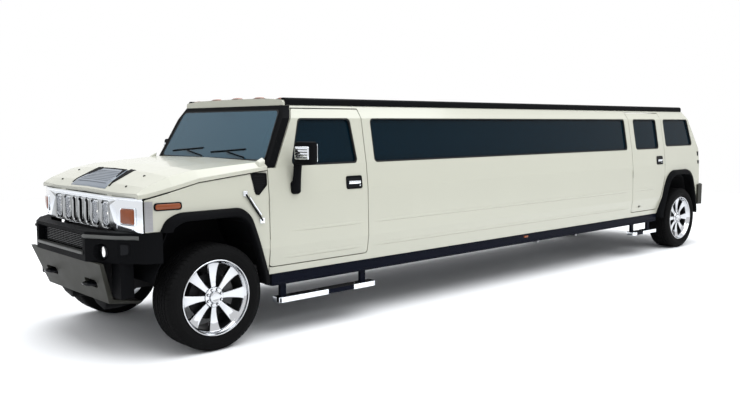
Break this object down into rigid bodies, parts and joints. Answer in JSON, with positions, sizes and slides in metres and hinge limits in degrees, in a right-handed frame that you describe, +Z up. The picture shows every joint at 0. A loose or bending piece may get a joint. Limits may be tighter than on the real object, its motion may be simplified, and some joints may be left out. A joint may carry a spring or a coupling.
{
  "type": "stretch limousine",
  "caption": "Boxy stretch limousine on a ladder frame, with long side windows, hinged doors, hood and tailgate, steered front wheels and a furnished cabin.",
  "frame": {"origin": "on the ground, in the middle of the vehicle's length and width", "axes": "the vehicle points along -Y, its left side is +X and +Z is up"},
  "size_m": [2.46, 9.38, 2.028],
  "materials": {
    "white_paint": "gloss",
    "black_plastic": "grained",
    "navy_paint": "satin",
    "grey_paint": "satin",
    "chrome": "polished",
    "frame_paint": "satin",
    "cast_iron": "rough",
    "alloy": "cast",
    "steel": "plain",
    "tyre": "matt",
    "dark_glass": "tinted",
    "clear_glass": "lightly tinted",
    "lamp_glass": "clear",
    "amber_plastic": "clear tinted",
    "red_plastic": "clear tinted",
    "leather": "grained",
    "carpet": "pile",
    "cabinet": "gloss"
  },
  "bodies": {
    "vehicle": {"amber_lamps": "amber_plastic", "bar_cabinet": "cabinet", "body_side_left": "white_paint", "body_side_right": "white_paint", "bulkhead": "black_plastic", "chassis_frame": "frame_paint", "engine_block": "alloy", "exhaust": "steel", "fixed_glass": "dark_glass", "floor_pan": "frame_paint", "front_bumper": "black_plastic", "front_fenders": "white_paint", "front_seats": "leather", "front_suspension": "frame_paint", "fuel_tank": "black_plastic", "grille": "chrome", "headlamps": "lamp_glass", "hitch_receiver": "frame_paint", "lounge_seats": "leather", "partition": "cabinet", "propshaft": "steel", "rear_axle": "cast_iron", "rear_bumper": "black_plastic", "rear_panel": "white_paint", "roof": "white_paint", "running_boards": "navy_paint", "skid_plate": "grey_paint", "steering_wheel": "leather", "tail_lamps": "red_plastic", "wheel_arch_flares": "black_plastic", "windscreen_frame": "black_plastic"},
    "knuckle_left_body": {"knuckle_left": "cast_iron"},
    "wheel_front_left": {"tyre_front_left": "tyre", "rim_front_left": "chrome"},
    "wheel_rear_left": {"tyre_rear_left": "tyre", "rim_rear_left": "chrome"},
    "front_door_left": {"door_front_left": "white_paint", "door_glass_front_left": "dark_glass", "mirror_left": "chrome"},
    "rear_door_left": {"door_rear_left": "white_paint", "door_glass_rear_left": "dark_glass"},
    "knuckle_right_body": {"knuckle_right": "cast_iron"},
    "wheel_front_right": {"tyre_front_right": "tyre", "rim_front_right": "chrome"},
    "wheel_rear_right": {"tyre_rear_right": "tyre", "rim_rear_right": "chrome"},
    "front_door_right": {"door_front_right": "white_paint", "door_glass_front_right": "dark_glass", "mirror_right": "chrome"},
    "rear_door_right": {"door_rear_right": "white_paint", "door_glass_rear_right": "dark_glass"},
    "hood_body": {"hood": "white_paint"},
    "tailgate_body": {"tailgate": "white_paint", "tailgate_glass": "dark_glass"}
  },
  "joints": [
    {"name": "steer_left", "type": "hinge", "parent": "vehicle", "child": "knuckle_left_body", "pos_m": [0.72, -3.86, 0.425], "axis": [0, 0, 1], "range_deg": [-30, 30]},
    {"name": "steer_right", "type": "hinge", "parent": "vehicle", "child": "knuckle_right_body", "pos_m": [-0.72, -3.86, 0.425], "axis": [0, 0, 1], "range_deg": [-30, 30]},
    {"name": "wheel_front_left_spin", "type": "hinge", "parent": "knuckle_left_body", "child": "wheel_front_left", "pos_m": [0.87, -3.86, 0.425], "axis": [1, 0, 0], "continuous": true},
    {"name": "wheel_rear_left_spin", "type": "hinge", "parent": "vehicle", "child": "wheel_rear_left", "pos_m": [0.87, 3.83, 0.425], "axis": [1, 0, 0], "continuous": true},
    {"name": "wheel_front_right_spin", "type": "hinge", "parent": "knuckle_right_body", "child": "wheel_front_right", "pos_m": [-0.87, -3.86, 0.425], "axis": [1, 0, 0], "continuous": true},
    {"name": "wheel_rear_right_spin", "type": "hinge", "parent": "vehicle", "child": "wheel_rear_right", "pos_m": [-0.87, 3.83, 0.425], "axis": [1, 0, 0], "continuous": true},
    {"name": "front_door_left_hinge", "type": "hinge", "parent": "vehicle", "child": "front_door_left", "pos_m": [0.985, -3.3277, 1], "axis": [0, 0, -1], "range_deg": [0, 65]},
    {"name": "rear_door_left_hinge", "type": "hinge", "parent": "vehicle", "child": "rear_door_left", "pos_m": [0.985, 2.5213, 1], "axis": [0, 0, -1], "range_deg": [0, 65]},
    {"name": "front_door_right_hinge", "type": "hinge", "parent": "vehicle", "child": "front_door_right", "pos_m": [-0.985, -3.3277, 1], "axis": [0, 0, 1], "range_deg": [0, 65]},
    {"name": "rear_door_right_hinge", "type": "hinge", "parent": "vehicle", "child": "rear_door_right", "pos_m": [-0.985, 2.5213, 1], "axis": [0, 0, 1], "range_deg": [0, 65]},
    {"name": "hood_hinge", "type": "hinge", "parent": "vehicle", "child": "hood_body", "pos_m": [0, -4.455, 1.2323], "axis": [1, 0, 0], "range_deg": [0, 60]},
    {"name": "tailgate_hinge", "type": "hinge", "parent": "vehicle", "child": "tailgate_body", "pos_m": [0, 4.14195, 1.9337], "axis": [1, 0, 0], "range_deg": [0, 80]}
  ],
  "couplings": [
    {"joint": "steer_right", "follows": "steer_left", "ratio": 1}
  ]
}
